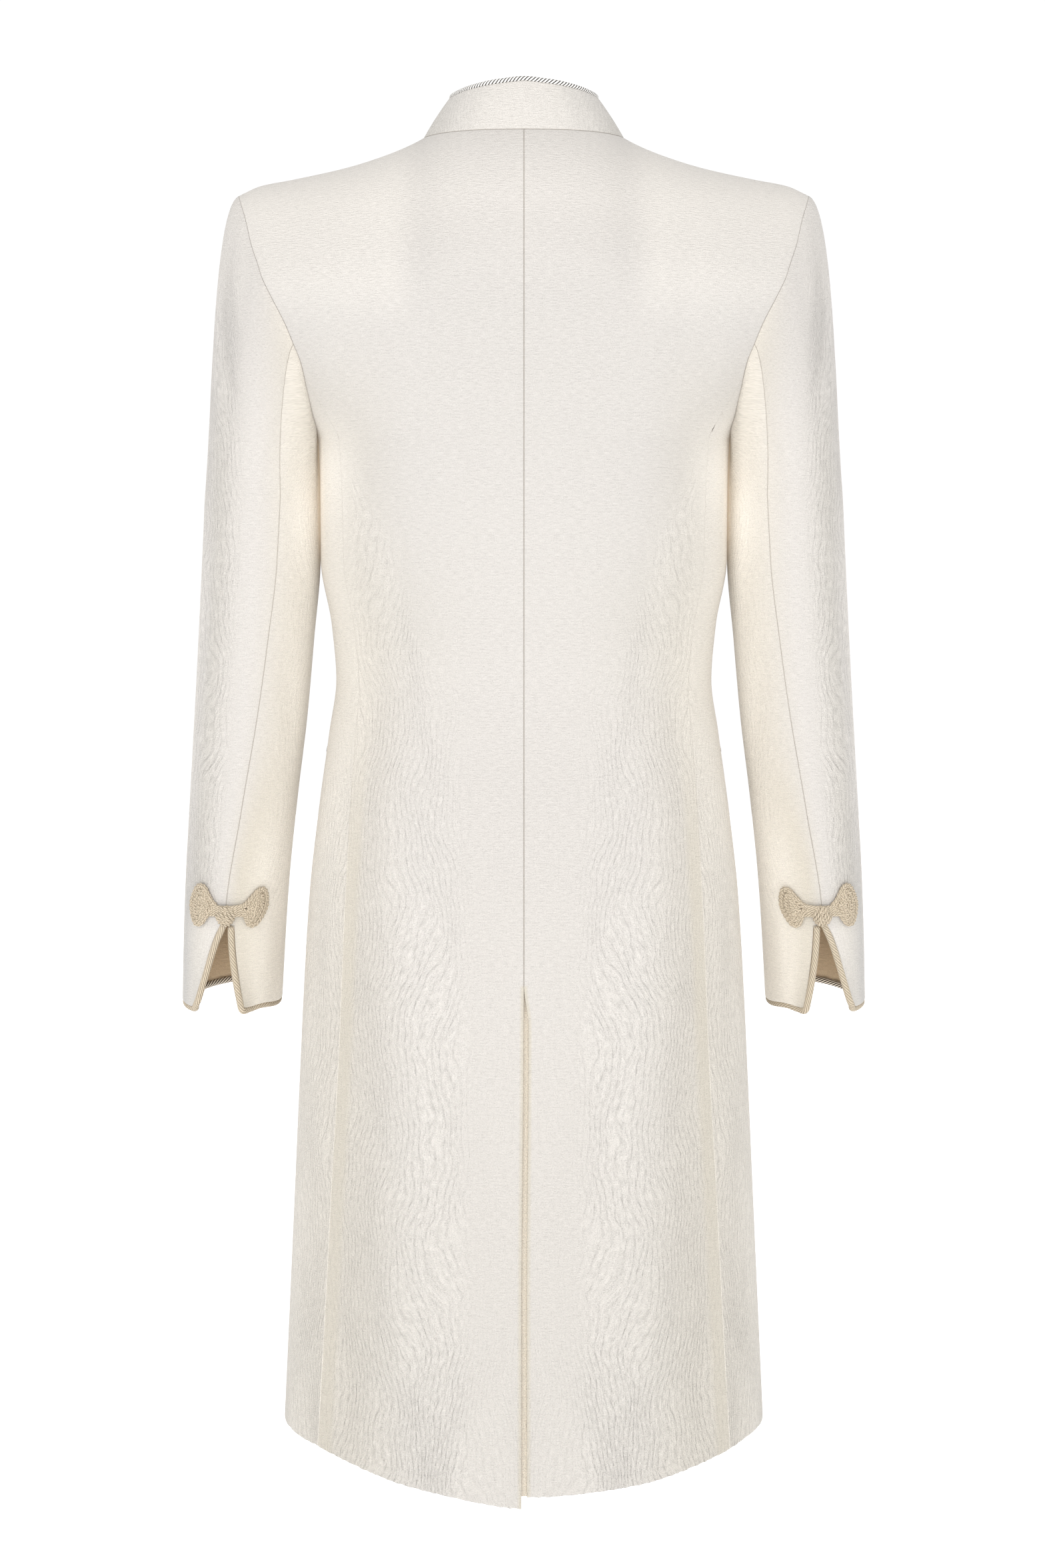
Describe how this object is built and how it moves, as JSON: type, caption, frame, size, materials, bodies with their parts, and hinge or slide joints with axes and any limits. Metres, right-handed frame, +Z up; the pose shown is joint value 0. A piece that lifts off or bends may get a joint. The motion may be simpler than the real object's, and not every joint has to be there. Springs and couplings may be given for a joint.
{
  "type": "coat dress",
  "caption": "Long-sleeved jacquard coat dress with a stand collar, slit cuffs closed by braided frogs and a back vent, in its worn shape.",
  "frame": {"origin": "on the wearer's centre line, level with and midway between the two points where the shoulder seams meet the collar", "axes": "+Z up along the wearer's body, +Y towards the garment's back, +X towards the wearer's left"},
  "size_m": [0.5298, 0.294, 1.0333],
  "materials": {
    "jacquard": "matt woven jacquard with a crinkled relief",
    "rope": "twisted beige cord",
    "collar_rope": "twisted off-white cord with dark grooves"
  },
  "bodies": {
    "root": {"back_left": "jacquard", "back_right": "jacquard", "side_left": "jacquard", "side_right": "jacquard", "front_left": "jacquard", "front_right": "jacquard", "sleeve_top_left": "jacquard", "sleeve_top_right": "jacquard", "sleeve_under_left": "jacquard", "sleeve_under_right": "jacquard", "collar": "jacquard", "piping_cuff_left": "rope", "piping_cuff_right": "rope", "frog_lobe_outer_left": "rope", "frog_lobe_outer_right": "rope", "frog_lobe_inner_left": "rope", "frog_lobe_inner_right": "rope", "frog_knot_left": "rope", "frog_knot_right": "rope", "pocket_rope_left": "rope", "pocket_rope_right": "rope", "piping_collar": "collar_rope"}
  },
  "joints": []
}
